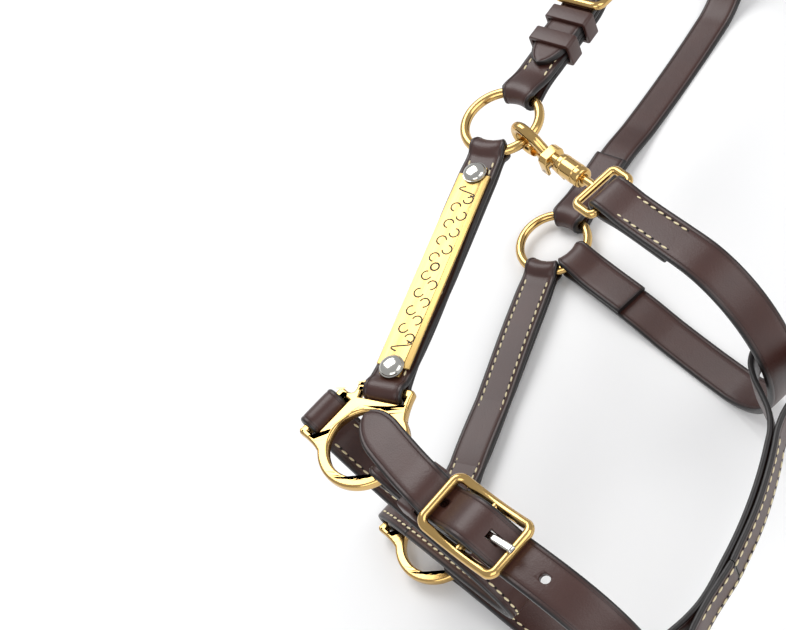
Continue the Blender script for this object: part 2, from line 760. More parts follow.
def sew(name, lines, tree, sockets):
    """Lay stitches along lines of (point, outward direction)."""
    mesh = bpy.data.meshes.new(name)
    points, edges, ups = [], [], []
    for line in lines:
        first = len(points)
        points += [tuple(p * MM) for p, _ in line]
        ups += [tuple(up) for _, up in line]
        edges += [(index, index + 1) for index in range(first, len(points) - 1)]
    mesh.from_pydata(points, edges, [])
    layer = mesh.attributes.new("up", "FLOAT_VECTOR", "POINT")
    for index, up in enumerate(ups):
        layer.data[index].vector = up
    obj = bpy.data.objects.new(name, mesh)
    bpy.context.scene.collection.objects.link(obj)
    modifier = obj.modifiers.new("stitches", "NODES")
    modifier.node_group = tree
    modifier[sockets["pitch"]] = STITCH_PITCH * MM
    modifier[sockets["thread"]] = MATERIALS["thread"]
    modifier[sockets["hole"]] = MATERIALS["awl"]
    bake(obj)
    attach(obj, "straps")


def place(obj, node, slot, body="straps"):
    """A finished piece stands for its node and moves with its body."""
    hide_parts(node)
    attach(obj, body)
    return obj


# ---------------------------------------------------------------- leather pieces

def build_cheek(side, stitch):
    """One strap looped round the cheek bar and the upper ring, its ends meeting at the back."""
    run = Run(SQUARE, CHEEK_ANGLE, NEAR if side == "near" else OFF)
    far = CHEEK_BAR + CHEEK_LENGTH
    line = level_steps(CHEEK_BAR, CHEEK_BAR + CHEEK_NECK, 5, lambda s: 0.0)
    line += level_steps(far - 30.0, far - CHEEK_NECK - 8.0, 2, lambda s: 0.0)
    line += level_steps(far - CHEEK_NECK, far, 5, lambda s: 0.0)
    first_arc, upper, last_arc, lower = doubled(line, LAYER, BAR_HOLE, WIRE_HOLE, CHEEK_NECK, CHEEK_NECK)
    middle = (CHEEK_BAR + far) / 2
    path = [(middle - GAP / 2, lower[9][1])] + lower[9:]
    path += first_arc + upper + last_arc + lower[:9] + [(middle + GAP / 2, lower[8][1])]
    obj = ribbon("cheek_leather_" + side, run, path, LAYER)
    curve_fold(obj, run.at(far + RING_RADIUS), -run.along, run.across, RING_RADIUS)
    place(obj, "cheek_" + side, "havana_leather")
    lines = rows(run, upper, 1, LAYER, 9.0, 9.0)
    bottom = [(s, -z) for s, z in upper]
    lines += rows(run, bottom, -1, LAYER, 9.0, 9.0)
    sew("cheek_stitches_" + side, lines, *stitch)


def build_noseband(stitch):
    """The outer strap wrapped on both squares' bars, and the lining between its tails."""
    run = NOSE
    deep = -SIDE_SPACING
    control = [(NOSE_BAR, 0.0), (NOSE_BAR, -32.0), (-NOSE_FOLD, -24.0), (-NOSE_FOLD, deep / 2)]
    line = []
    for step in range(17):
        t = (step / 16) ** 1.15
        weights = [(1 - t) ** 3, 3 * t * (1 - t) ** 2, 3 * t * t * (1 - t), t ** 3]
        line.append(tuple(sum(weight * point[axis] for weight, point in zip(weights, control))
                          for axis in (0, 1)))
    line += [(s, deep - z) for s, z in reversed(line[:-1])]
    hole = BAR_HOLE + 1.5 * GAP
    first_arc, upper, last_arc, lower = doubled(line, LAYER, hole, hole)
    first_arc, last_arc = list(reversed(first_arc)), list(reversed(last_arc))
    upper, lower = list(reversed(lower)), list(reversed(upper))
    tail = 6
    ends = [lower[tail], lower[-1 - tail]]
    outer = [nudge(ends[1], lower[-tail])] + lower[-tail:] + first_arc + upper + last_arc
    outer += lower[:tail] + [nudge(ends[0], lower[tail - 1])]
    place(ribbon("noseband_leather", run, outer, LAYER), "noseband", "havana_leather")
    lining = ribbon("noseband_lining_leather", run, lower[tail:-tail], LAYER, look="lining")
    place(lining, "noseband_lining", "leather_lining")
    lines = rows(run, upper, -1, LAYER, 12.0, 12.0) + rows(run, lower, -1, LAYER, 12.0, 12.0)
    sew("noseband_stitches", lines, *stitch)


def build_chape(prefix, run, radius, hole, centre, stitch):
    """A doubled strap from a ring to a buckle's centre bar, slotted for the tongue."""
    start = centre - BUCKLE_HALF

    def height(s):
        share = min(max((s - start) / BUCKLE_HALF, 0.0), 1.0)
        return BUCKLE_RISE * 0.5 * (1.0 - math.cos(math.pi * share))

    line = level_steps(radius, radius + NECK, 5, height)
    if start - radius > 30.0:
        line += level_steps(radius + NECK + 4.0, start - 3.0, 3, height)
    else:
        line.append((radius + NECK + 4.0, 0.0))
    line += level_steps(start, centre, 7, height)
    first_arc, upper, last_arc, lower = doubled(line, LAYER, hole, BUCKLE_HOLE, 14.0, 14.0)
    path = [nudge(lower[-6], lower[-5])] + lower[-5:] + first_arc + upper + last_arc + lower[:-5]
    obj = ribbon(prefix + "_chape_leather", run, path, LAYER)
    curve_fold(obj, run.start, run.along, run.across, radius)
    clear = BUCKLE_HOLE + LAYER + 1.3
    low_s, high_s = centre - clear, centre + clear
    low_z, high_z = BUCKLE_RISE - clear, BUCKLE_RISE + clear
    slot = prism("tool", lambda s, z, w: run.at(s, z, w),
                 [(low_s, low_z), (high_s, low_z), (high_s, high_z), (low_s, high_z)], [],
                 -TONGUE_WIDTH / 2 - 2 * GAP, TONGUE_WIDTH / 2 + 2 * GAP, "awl")
    place(cut(obj, [slot]), prefix + "_chape", "havana_leather")
    sew(prefix + "_chape_stitches", rows(run, upper, 1, LAYER, 13.0, 10.0)
        + rows(run, list(reversed(lower)), -1, LAYER, 13.0, 10.0), *stitch)


def off_leg(turn, reach, top, hole, ring_radius):
    """From a stitched-back end on the off side, down to the floor and round the half turn."""
    drop = -SIDE_SPACING
    ground = FLOOR_STRAP - NEAR
    closed = drop - CLOSED
    path = folded(fold_line(ring_radius, drop), hole, -1)
    start = ring_radius + RETURN_LENGTH + 2.0
    span = min(30.0, turn - start - 4.0)

    def ease(s):
        share = min(max((s - start) / span, 0.0), 1.0)
        return closed + (ground - closed) * share * share * (3 - 2 * share)

    path += level_steps(start, start + span, 4, ease)
    return path + list(reversed(half_turn(turn, reach, top, ground)))


def build_chin_near():
    """The billet: from the lead ring up and over, through the buckle to its point."""
    run = CHIN
    top, closed = BILLET_TOP, CLOSED
    wire = LEAD.z - NEAR + RING_RADIUS
    out = CHIN_TURN + CHIN_REACH
    line = spline((out, wire), (out, top - closed), (CHIN_TURN, top - closed), 12)
    path = folded(line, WIRE_HOLE, -1, CHIN_RETURN)
    near_bar = CHIN_BUCKLE - BUCKLE_HALF
    path += level_steps(CHIN_BUCKLE + BUCKLE_HALF, near_bar, 14, arch(CHIN_BUCKLE))
    over_keeper = DOUBLE_HALF + 3 * GAP + KEEPER_WALL + STRAP / 2
    over_fold = BAND_HOLE + LAYER + GAP + STRAP / 2
    path += [(near_bar - 4.0, top + 0.5), (near_bar - 8.0, over_keeper), (30.0, over_keeper + 0.5),
             (SQUARE_RADIUS + 2.0, over_fold), (10.0, over_fold - 0.2), (3.0, over_fold - 0.9),
             (0.0, over_fold - 1.3), (CHIN_TIP + 3.0, over_fold - 1.8), (CHIN_TIP, over_fold - 2.3)]
    obj = ribbon("chin_billet_leather", run, path, STRAP, pointed)
    curve_fold(obj, LEAD, UP, run.across, RING_RADIUS)
    drift_billet(obj)
    tools = [tongue_hole(run, CHIN_BUCKLE)]
    tools += [punched(run, CHIN_BUCKLE + 9.0 + number * HOLE_PITCH, top) for number in (1, -1)]
    place(cut(obj, tools), "chin_strap_near", "havana_leather")


def build_chin_off(stitch):
    """The doubled strap from the off square along the floor and up to the lead ring."""
    run = CHIN
    out = CHIN_TURN + CHIN_REACH
    drop = -SIDE_SPACING
    ground = DOUBLE_HALF + 0.1 - NEAR
    wire = LEAD.z - NEAR - RING_RADIUS
    line = level_steps(SQUARE_RADIUS, SQUARE_RADIUS + NECK, 5, lambda s: drop)
    line += [(52.0, drop * 0.4 + ground * 0.6)]
    line += spline((70.0, ground), (out, ground), (out, wire), 14)
    first_arc, upper, last_arc, lower = doubled(line, LAYER, BAND_HOLE, WIRE_HOLE)
    path = [nudge(upper[8], upper[9])] + upper[9:] + last_arc + lower + first_arc + upper[:9]
    obj = ribbon("chin_strap_off_leather", run, path, LAYER)
    curve_fold(obj, LEAD, -UP, run.across, RING_RADIUS)
    curve_fold(obj, run.at(0, drop), run.along, run.across, SQUARE_RADIUS)
    place(obj, "chin_strap_off", "havana_leather")
    sew("chin_off_stitches", rows(run, upper, 1, LAYER, 14.0, 14.0)
        + rows(run, list(reversed(lower)), -1, LAYER, 14.0, 14.0), *stitch)


def build_crown():
    """The crown strap: from the off ring round the poll, through the buckle to its point."""
    run = CROWN
    top = BILLET_TOP
    leg = off_leg(CROWN_TURN, CROWN_REACH, top, WIRE_HOLE, RING_RADIUS)
    path = leg + level_steps(CROWN_BUCKLE + BUCKLE_HALF, CROWN_BUCKLE - BUCKLE_HALF, 14, arch(CROWN_BUCKLE))
    path += level_steps(CROWN_BUCKLE - BUCKLE_HALF - 6.0, CROWN_TIP, 6, lambda s: top)
    obj = ribbon("crown_leather", run, path, STRAP, pointed)
    curve_fold(obj, run.at(0, -SIDE_SPACING), run.along, run.across, RING_RADIUS)
    tools = [tongue_hole(run, CROWN_BUCKLE)]
    tools += [punched(run, CROWN_BUCKLE + 9.0 + number * HOLE_PITCH, top) for number in (1, 2)]
    place(cut(obj, tools), "crown_strap", "havana_leather")


def build_throatlatch(stitch):
    """The throat strap: from the off ring round to the snap's swivel eye."""
    run = THROAT
    closed = CLOSED
    eye_bar = RING_RADIUS + EYE[1]
    path = off_leg(THROAT_TURN + RING_RADIUS, THROAT_REACH, closed, WIRE_HOLE, RING_RADIUS)
    path += list(reversed(folded(fold_line(eye_bar), EYE_WIRE / 2 + GAP, 1)))
    obj = ribbon("throatlatch_leather", run, path, STRAP)
    curve_fold(obj, run.at(0, -SIDE_SPACING), run.along, run.across, RING_RADIUS)
    place(obj, "throatlatch", "havana_leather")
    line = [(s, closed) for s, _ in level_steps(eye_bar + 12.0, eye_bar + RETURN_LENGTH - 2.0, 6, abs)]
    sew("throat_stitches", rows(run, line, 1, STRAP), *stitch)


def build_joining(stitch):
    """The strap on edge from the lead ring to a slack loop round the throatlatch."""
    away = CHIN.across
    loop = THROAT.at(THROAT_TURN + RING_RADIUS + THROAT_REACH, -SIDE_SPACING / 2)
    first = LEAD + away * RING_RADIUS
    control = LEAD + away * JOINING_SWEEP
    line = []
    for t in (0.0, 0.02, 0.04, 0.06, 0.08, 0.1, 0.3, 0.5, 0.7, 0.76, 0.82, 0.88, 0.94, 1.0):
        point = first * (1 - t) ** 2 + control * (2 * t * (1 - t)) + loop * t * t
        line.append((point.x, point.y))
    slack = math.hypot(STRAP_WIDTH, STRAP) / 2 + 4 * GAP
    first_arc, upper, last_arc, lower = doubled(line, LAYER, WIRE_HOLE, slack, NECK, 34.0)
    path = [nudge(lower[7], lower[8])] + lower[8:] + first_arc + upper + last_arc + lower[:8]
    run = FloorPlan(NEAR - SIDE_SPACING / 2)
    obj = ribbon("joining_leather", run, path, LAYER)
    curve_fold(obj, LEAD, away, UP, RING_RADIUS)
    place(obj, "joining_strap", "havana_leather")
    sew("joining_stitches", rows(run, upper, 1, LAYER, 14.0, 40.0)
        + rows(run, list(reversed(lower)), -1, LAYER, 14.0, 40.0), *stitch)


def build_keeper(node, run, s, bottom, top, body="straps"):
    """A leather loop round what lies between two heights."""
    half = STRAP_WIDTH / 2 + GAP
    low_z, high_z = bottom - GAP, top + GAP

    def rounded(grow, corner):
        points = []
        for sign_w, sign_z, start in ((1, 1, 0), (-1, 1, 90), (-1, -1, 180), (1, -1, 270)):
            w = sign_w * (half + grow - corner)
            z = (high_z + grow - corner) if sign_z > 0 else (low_z - grow + corner)
            points += arc((w, z), corner, start, start + 90, 6)
        return points

    obj = prism(node + "_leather", lambda w, z, depth: run.at(s + depth, z, w),
                rounded(KEEPER_WALL, 1.7), [list(reversed(rounded(0.0, 0.4)))],
                -KEEPER_LENGTH / 2, KEEPER_LENGTH / 2, "leather")
    place(bevel(obj, 0.45), node, "havana_leather", body)


# ---------------------------------------------------------------- metal pieces

def build_ring(node, centre, first, second, body):
    """A round ring in the plane of two directions."""
    circle = [centre + first * x + second * y for x, y in arc((0, 0), RING_RADIUS, 0, 360, 120)[:-1]]
    obj = tube(node + "_brass", circle, RING_WIRE / 2, "brass", True, 28, first.cross(second))
    place(obj, node, "cast_brass", body)


def build_square(node, height):
    """The cast ring with its two strap bars."""
    outer = SQUARE_INNER / 2 + SQUARE_BAND
    half_slot = STRAP_WIDTH / 2 + SLOT_CORNER
    half_bar = half_slot + BAR_STRUT
    corner = BAR_CORNER

    def spun(angle, u, v):
        turn = math.radians(angle)
        return (u * math.cos(turn) - v * math.sin(turn), u * math.sin(turn) + v * math.cos(turn))

    def bar_top(angle, distance):
        edge = distance + BAR_WIDTH / 2
        points = arc((edge - corner, -half_bar + corner), corner, -90, 0, 6)
        points += arc((edge - corner, half_bar - corner), corner, 0, 90, 6)
        return [spun(angle, u, v) for u, v in points]

    web = SQUARE_WEB
    cheek, nose = bar_top(CHEEK_ANGLE, CHEEK_BAR), bar_top(NOSE_ANGLE, NOSE_BAR)
    outline = arc((0, 0), outer, NOSE_ANGLE + web, CHEEK_ANGLE - web + 360, 60)
    outline += spline(spun(CHEEK_ANGLE - web, outer, 0), spun(CHEEK_ANGLE, outer - 1.0, -half_bar + 0.5),
                      cheek[0], 14)[1:-1]
    outline += cheek
    outline += spline(cheek[-1], spun((CHEEK_ANGLE + NOSE_ANGLE) / 2, outer + 2.5, 0), nose[0], 16)[1:-1]
    outline += nose
    outline += spline(nose[-1], spun(NOSE_ANGLE, outer - 1.0, half_bar - 0.5),
                      spun(NOSE_ANGLE + web, outer, 0), 14)[1:-1]
    holes = [list(reversed(arc((0, 0), SQUARE_INNER / 2, 0, 360, 90)[:-1]))]
    for angle, distance in ((CHEEK_ANGLE, CHEEK_BAR), (NOSE_ANGLE, NOSE_BAR)):
        near, far = outer + 0.05, distance - BAR_WIDTH / 2
        holes.append([spun(angle, u, v) for u, v in ((near, -half_slot), (near, half_slot),
                                                     (far, half_slot), (far, -half_slot))])
    centre = Vector((SQUARE.x, SQUARE.y, height))
    obj = prism(node + "_brass", lambda x, y, z: centre + Vector((x, y, z)), outline, holes,
                -SQUARE_THICK / 2, SQUARE_THICK / 2, "brass")
    place(bevel(obj, SQUARE_EDGE, 5), node, "cast_brass")


def build_buckle(prefix, run, centre):
    """A centre-bar buckle whose end bars stand above its centre bar, with its tongue."""
    half_width = STRAP_WIDTH / 2 + SLOT_CLEARANCE + BUCKLE_WIRE / 2
    corner = BUCKLE_CORNER
    flat = []
    for sign_s, sign_w, start in ((1, 1, 90), (-1, 1, 180), (-1, -1, 270), (1, -1, 360)):
        flat += arc((sign_s * (BUCKLE_HALF - corner), sign_w * (half_width - corner)), corner,
                    start - 90, start, 10)
        if sign_s * sign_w > 0:
            flat += [(sign_s * (BUCKLE_HALF - corner) * share, sign_w * half_width)
                     for share in [1 - k / 8 for k in range(1, 16)]]
    frame_path = [run.at(centre + s, BUCKLE_RISE + END_BAR_RISE * (s / BUCKLE_HALF) ** 2, w)
                  for s, w in flat]
    body = tube(prefix + "_frame_brass", frame_path, BUCKLE_WIRE / 2, "brass", True, 24)
    bar = tube("bar", [run.at(centre, BUCKLE_RISE, -half_width), run.at(centre, BUCKLE_RISE, half_width)],
               BUCKLE_BAR / 2, "brass")
    place(join(body, bar), prefix + "_buckle", "cast_brass")

    pivot, slope = run.at(centre, BUCKLE_RISE), tongue_slope()
    collar = BUCKLE_HOLE + LAYER
    gap = math.degrees(math.asin(TONGUE_THICK / 2 / collar))
    turn = math.degrees(slope)
    outline = arc((0, 0), collar, turn + gap, turn + 360 - gap, 60)
    tip = TONGUE_LENGTH - TONGUE_THICK / 2
    outline += [(tip * math.cos(slope) + x, tip * math.sin(slope) + y)
                for x, y in arc((0, 0), TONGUE_THICK / 2, turn - 90, turn + 90, 10)]
    hole = list(reversed(arc((0, 0), BUCKLE_HOLE, 0, 360, 48)[:-1]))
    obj = prism(prefix + "_tongue_nickel", lambda s, z, w: pivot + run.along * s + UP * z + run.across * w,
                outline, [hole], -TONGUE_WIDTH / 2, TONGUE_WIDTH / 2, "nickel")
    place(bevel(obj, 0.7, 4), prefix + "_tongue", "nickel", prefix + "_tongue")


def build_plate():
    """The brushed plate with notched corners, its scroll ornament and its two domed rivets."""
    base = DOUBLE_HALF + GAP
    half_length, half_width = PLATE_LENGTH / 2, PLATE_WIDTH / 2
    notch, step = PLATE_NOTCH
    corner = [(half_length, half_width - step), (half_length - notch, half_width - step),
              (half_length - notch, half_width)]
    outline = corner + [(-s, w) for s, w in reversed(corner)]
    outline += [(-s, -w) for s, w in corner] + [(s, -w) for s, w in reversed(corner)]
    holes = [list(reversed(arc((side * RIVET_SPACING / 2, 0), RIVET_SHANK / 2 + GAP, 0, 360, 32)[:-1]))
             for side in (1, -1)]
    plate = prism("plate_brass", lambda s, w, z: CHEEK.at(PLATE_CENTRE + s, z, w), outline, holes,
                  base, base + PLATE_THICK, "plate")
    place(bevel(plate, 0.35), "nameplate", "plate_brass")

    face = base + PLATE_THICK
    parts = []

    def line_of(points, width=0.42):
        path = [CHEEK.at(PLATE_CENTRE + s, face - 0.02, w) for s, w in points]
        parts.append(tube("engraving", path, width, "infill", sides=8, flat=0.2))

    for mirror in (1, -1):
        for number in range(4):
            s = mirror * (5.0 + SCROLL_PITCH * number)
            high = arc((0, SCROLL_RADIUS), SCROLL_RADIUS, -80, 180, 22)
            low = arc((SCROLL_PITCH / 2, -SCROLL_RADIUS), SCROLL_RADIUS, 100, 360, 22)
            for curl in (high, low):
                line_of([(s + mirror * x, y) for x, y in curl])
        line_of([(mirror * (42.0 + 3.0 * t / 8), 4.4 * math.sin(t * 0.35)) for t in range(-8, 9)])
    line_of(arc((0, 0), 2.0, 0, 360, 24), 0.5)
    join(parts[0], *parts[1:])
    parts[0].name = "plate_ornament"
    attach(parts[0], "straps")
    for name, side in (("top", 1), ("bottom", -1)):
        foot = CHEEK.at(PLATE_CENTRE + side * RIVET_SPACING / 2, face + GAP)
        dome = [(0.0, RIVET_RISE)]
        dome += [(RIVET_HEAD / 2 * 0.92 * math.sin(a), 0.7 + (RIVET_RISE - 0.7) * math.cos(a))
                 for a in [math.pi / 2 * k / 12 for k in range(1, 13)]]
        end = -2 * base - PLATE_THICK - GAP - 1.6
        dome += [(RIVET_HEAD / 2, 0.55), (RIVET_HEAD / 2, 0.1), (RIVET_HEAD / 2 - 0.15, 0.0),
                 (RIVET_SHANK / 2, 0.0), (RIVET_SHANK / 2, end), (2.2, end - 0.15), (1.9, end - 0.6),
                 (0.0, end - 0.7)]
        place(turned("rivet_%s_nickel" % name, foot, UP, dome, "nickel"), "rivet_" + name, "nickel")


def build_snap():
    """The hook, barrel and saddle in one, the trigger, and the swivel eye."""
    run = Run(THROAT.at(RING_RADIUS), THROAT_ANGLE)
    hook = [(BARREL[0] + 2.0, 0.0), (20.0, 0.0), (SADDLE[0], 0.0), (11.0, 2.2), (7.6, 5.0)]
    hook += arc((0, 0), HOOK_RADIUS, 62, 300, 16)
    path = [run.at(p.x, p.y) for p in smooth(hook, 0.6)]
    body = tube("snap_brass", path, HOOK_WIRE / 2, "brass", sides=24, hint=run.across)
    start, end = BARREL
    profile = [(0.0, start), (4.2, start), (4.8, start + 0.5), (5.0, start + 1.2), (5.0, start + 3.0),
               (4.6, start + 3.4), (4.6, start + 4.2), (5.0, start + 4.6), (5.0, end - 4.6),
               (4.6, end - 4.2), (4.6, end - 3.4), (5.0, end - 3.0), (5.0, end - 1.2), (4.6, end - 0.4),
               (4.0, end), (2.4, end), (2.4, end - 10.0), (0.0, end - 10.0)]
    barrel = turned("barrel", run.at(0), run.along, profile, "brass")
    half, slot, foot, top = SADDLE_HALF, SADDLE_SLOT, -7.6, 2.9
    saddle_outline = [(-half, foot), (-slot, foot), (-slot, -2.7), (slot, -2.7), (slot, foot), (half, foot),
                      (half, top - 2.0), (half - 2.0, top), (2.0 - half, top), (-half, top - 2.0)]
    saddle = prism("saddle", lambda w, z, s: run.at(s, z, w), saddle_outline, [], *SADDLE, "brass")
    bevel(saddle, 0.5, angle=40)
    place(join(body, barrel, saddle), "snap_body", "cast_brass", "snap")

    pivot = run.at(*PIVOT)
    outline = [(-10.4, -2.6), (-10.6, 0.4), (-6.0, 1.6)] + arc((0, 0), 2.3, 100, 0, 12)
    outline += [(3.4, -1.6), (7.4, -4.2), (7.0, -6.2), (3.0, -4.4), (-2.0, -2.6)]
    hole = arc((0, 0), 1.3, 0, 360, 32)[:-1]
    trigger = prism("trigger_brass", lambda s, z, w: pivot + run.along * s + UP * z + run.across * w,
                    outline, [hole], -TRIGGER_WIDTH / 2, TRIGGER_WIDTH / 2, "brass")
    place(bevel(trigger, 0.4), "snap_trigger", "cast_brass", "snap_trigger")

    half, corner = STRAP_WIDTH / 2 + SLOT_CLEARANCE + EYE_WIRE / 2, EYE_CORNER
    middle, reach = (EYE[0] + EYE[1]) / 2, (EYE[1] - EYE[0]) / 2
    flat = []
    for sign_s, sign_w, stop in ((1, 1, 90), (-1, 1, 180), (-1, -1, 270), (1, -1, 360)):
        flat += arc((middle + sign_s * (reach - corner), sign_w * (half - corner)), corner,
                    stop - 90, stop, 10)
    eye = tube("eye_brass", [run.at(s, 0, w) for s, w in flat], EYE_WIRE / 2, "brass", True, 24)
    stem = tube("stem", [run.at(BARREL[1] - 9.0), run.at(EYE[0])], STEM_WIDTH / 2, "brass",
                hint=run.across)
    place(join(eye, stem), "snap_eye", "cast_brass")


def dress_small_metal():
    """The pieces shown as they are, in this scene's metals."""
    looks = {"burr_top": "brass", "burr_bottom": "brass", "snap_pin": "steel", "snap_spring": "steel"}
    for node, look in looks.items():
        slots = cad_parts[node].material_slots
        for number in range(len(slots)):
            slots[number].link = "OBJECT"
            slots[number].material = MATERIALS[look]


# ---------------------------------------------------------------- stage

LAMPS = {
    "key": ((-0.5, 0.7, 1.1), 0.9, 11.5),
    "fill": ((0.9, -0.2, 0.9), 0.9, 5.5),
    "front": ((0.0, -0.9, 0.7), 0.7, 3.2),
}


def build_floor():
    """A pale floor, wide enough to fill the view."""
    half = 4.0
    mesh = bpy.data.meshes.new("floor")
    mesh.from_pydata([(-half, -half, 0), (half, -half, 0), (half, half, 0), (-half, half, 0)], [],
                     [(0, 1, 2, 3)])
    mesh.materials.append(finish("pale_floor", linear("F4F4F3"), 0.7)[0])
    floor = bpy.data.objects.new("floor", mesh)
    bpy.context.scene.collection.objects.link(floor)
    floor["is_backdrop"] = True


def build_lights():
    """Soft lamps round the piece and an even sky."""
    scene = bpy.context.scene
    scene.world = scene.world or bpy.data.worlds.new("studio")
    scene.world.use_nodes = True
    background = scene.world.node_tree.nodes.get("Background")
    background.inputs["Color"].default_value = (0.95, 0.96, 1.0, 1.0)
    background.inputs["Strength"].default_value = 0.55
    target = Vector((0, 0, 0.05))
    for name, (spot, size, power) in LAMPS.items():
        data = bpy.data.lights.new(name, "AREA")
        data.size, data.energy = size, power
        lamp = bpy.data.objects.new(name, data)
        lamp.location = spot
        lamp.rotation_euler = (target - Vector(spot)).to_track_quat("-Z", "Y").to_euler()
        scene.collection.objects.link(lamp)
        lamp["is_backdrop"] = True


def build_camera(stage):
    """The camera, set from the stage's tilt, heading, roll, distance and aim."""
    back = Vector((math.sin(stage.tilt) * math.cos(stage.heading),
                   math.sin(stage.tilt) * math.sin(stage.heading), math.cos(stage.tilt)))
    right = Vector((0, 1, 0)).cross(back).normalized()
    top = back.cross(right)
    data = bpy.data.cameras.new("camera")
    data.angle = stage.view_angle
    data.clip_start = 0.01
    camera = bpy.data.objects.new("camera", data)
    facing = Matrix((right, top, back)).transposed().to_4x4() @ Matrix.Rotation(stage.roll, 4, "Z")
    spot = Vector(stage.aim) * MM + back * stage.distance
    camera.matrix_world = Matrix.Translation(spot) @ facing
    bpy.context.scene.collection.objects.link(camera)
    camera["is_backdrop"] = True
    bpy.context.scene.camera = camera
    bpy.context.scene.view_settings.view_transform = "Standard"


# ---------------------------------------------------------------- add-on

class HeadcollarColours(bpy.types.PropertyGroup):
    """The colours that a user would change."""
    leather: bpy.props.FloatVectorProperty(name="Leather", default=linear("331A15")[:3], subtype="COLOR",
                                           min=0.0, max=1.0, description="Dye of the straps")
    thread: bpy.props.FloatVectorProperty(name="Thread", default=linear("DCCFA8")[:3], subtype="COLOR",
                                          min=0.0, max=1.0, description="Waxed thread of the stitches")
    brass: bpy.props.FloatVectorProperty(name="Brass", default=linear("DDB978")[:3], subtype="COLOR",
                                         min=0.0, max=1.0, description="Cast fittings")


class HeadcollarStage(bpy.types.PropertyGroup):
    """Where the camera stands."""
    tilt: bpy.props.FloatProperty(name="Tilt", default=math.radians(39.3), subtype="ANGLE",
                                  description="Camera's angle from straight above")
    heading: bpy.props.FloatProperty(name="Heading", default=math.radians(-59.7), subtype="ANGLE",
                                     description="Camera's direction round the upright axis")
    roll: bpy.props.FloatProperty(name="Roll", default=math.radians(5.2), subtype="ANGLE",
                                  description="Camera's turn about its own axis")
    distance: bpy.props.FloatProperty(name="Distance", default=0.628, min=0.1,
                                      description="Camera's distance from its aim, in metres")
    view_angle: bpy.props.FloatProperty(name="Field of view", default=math.radians(31.2), subtype="ANGLE",
                                        description="Horizontal field of view")
    aim: bpy.props.FloatVectorProperty(name="Aim", default=(-68.3, -58.8, 106.6),
                                       description="Point the camera looks at, in millimetres")


STITCHING = []


def ready(context):
    """Make the materials and the stitching tree at the first step; the tree is returned."""
    if not MATERIALS:
        make_materials(context.scene.headcollar_colours)
        STITCHING.extend(stitch_tree())
    return STITCHING


class HEADCOLLAR_OT_cheeks(bpy.types.Operator):
    """Add the near and off cheek straps"""
    bl_idname = "headcollar.cheeks"
    bl_label = "Cheek straps"
    bl_options = {"REGISTER", "UNDO"}

    def execute(self, context):
        stitch = ready(context)
        for side in ("near", "off"):
            build_cheek(side, stitch)
        return {"FINISHED"}


class HEADCOLLAR_OT_noseband(bpy.types.Operator):
    """Add the folded noseband and its lining"""
    bl_idname = "headcollar.noseband"
    bl_label = "Noseband"
    bl_options = {"REGISTER", "UNDO"}

    def execute(self, context):
        stitch = ready(context)
        build_noseband(stitch)
        return {"FINISHED"}


class HEADCOLLAR_OT_chapes(bpy.types.Operator):
    """Add the chapes that hold the two buckles"""
    bl_idname = "headcollar.chapes"
    bl_label = "Buckle chapes"
    bl_options = {"REGISTER", "UNDO"}

    def execute(self, context):
        stitch = ready(context)
        build_chape("chin", CHIN, SQUARE_RADIUS, BAND_HOLE, CHIN_BUCKLE, stitch)
        build_chape("crown", CROWN, RING_RADIUS, WIRE_HOLE, CROWN_BUCKLE, stitch)
        return {"FINISHED"}


class HEADCOLLAR_OT_chin(bpy.types.Operator):
    """Add the chin billet and the off chin strap"""
    bl_idname = "headcollar.chin"
    bl_label = "Chin straps"
    bl_options = {"REGISTER", "UNDO"}

    def execute(self, context):
        stitch = ready(context)
        build_chin_near()
        build_chin_off(stitch)
        return {"FINISHED"}


class HEADCOLLAR_OT_crown(bpy.types.Operator):
    """Add the crown strap"""
    bl_idname = "headcollar.crown"
    bl_label = "Crown strap"
    bl_options = {"REGISTER", "UNDO"}

    def execute(self, context):
        ready(context)
        build_crown()
        return {"FINISHED"}


class HEADCOLLAR_OT_throatlatch(bpy.types.Operator):
    """Add the throatlatch"""
    bl_idname = "headcollar.throatlatch"
    bl_label = "Throatlatch"
    bl_options = {"REGISTER", "UNDO"}

    def execute(self, context):
        stitch = ready(context)
        build_throatlatch(stitch)
        return {"FINISHED"}


class HEADCOLLAR_OT_joining(bpy.types.Operator):
    """Add the strap that joins the lead ring to the throatlatch"""
    bl_idname = "headcollar.joining"
    bl_label = "Joining strap"
    bl_options = {"REGISTER", "UNDO"}

    def execute(self, context):
        stitch = ready(context)
        build_joining(stitch)
        return {"FINISHED"}


class HEADCOLLAR_OT_keepers(bpy.types.Operator):
    """Add the two sewn keepers and the sliding loop"""
    bl_idname = "headcollar.keepers"
    bl_label = "Keepers"
    bl_options = {"REGISTER", "UNDO"}

    def execute(self, context):
        ready(context)
        stack = BILLET_TOP + STRAP / 2
        end_bar = CROWN_BUCKLE - BUCKLE_HALF
        chin_end_bar = CHIN_BUCKLE - BUCKLE_HALF
        build_keeper("chin_keeper", CHIN, chin_end_bar - 12.0, -DOUBLE_HALF, DOUBLE_HALF)
        build_keeper("crown_keeper", CROWN, end_bar - 8.0, -DOUBLE_HALF, stack)
        build_keeper("crown_loop", CROWN, end_bar - 23.0, -DOUBLE_HALF, stack, "crown_loop")
        return {"FINISHED"}


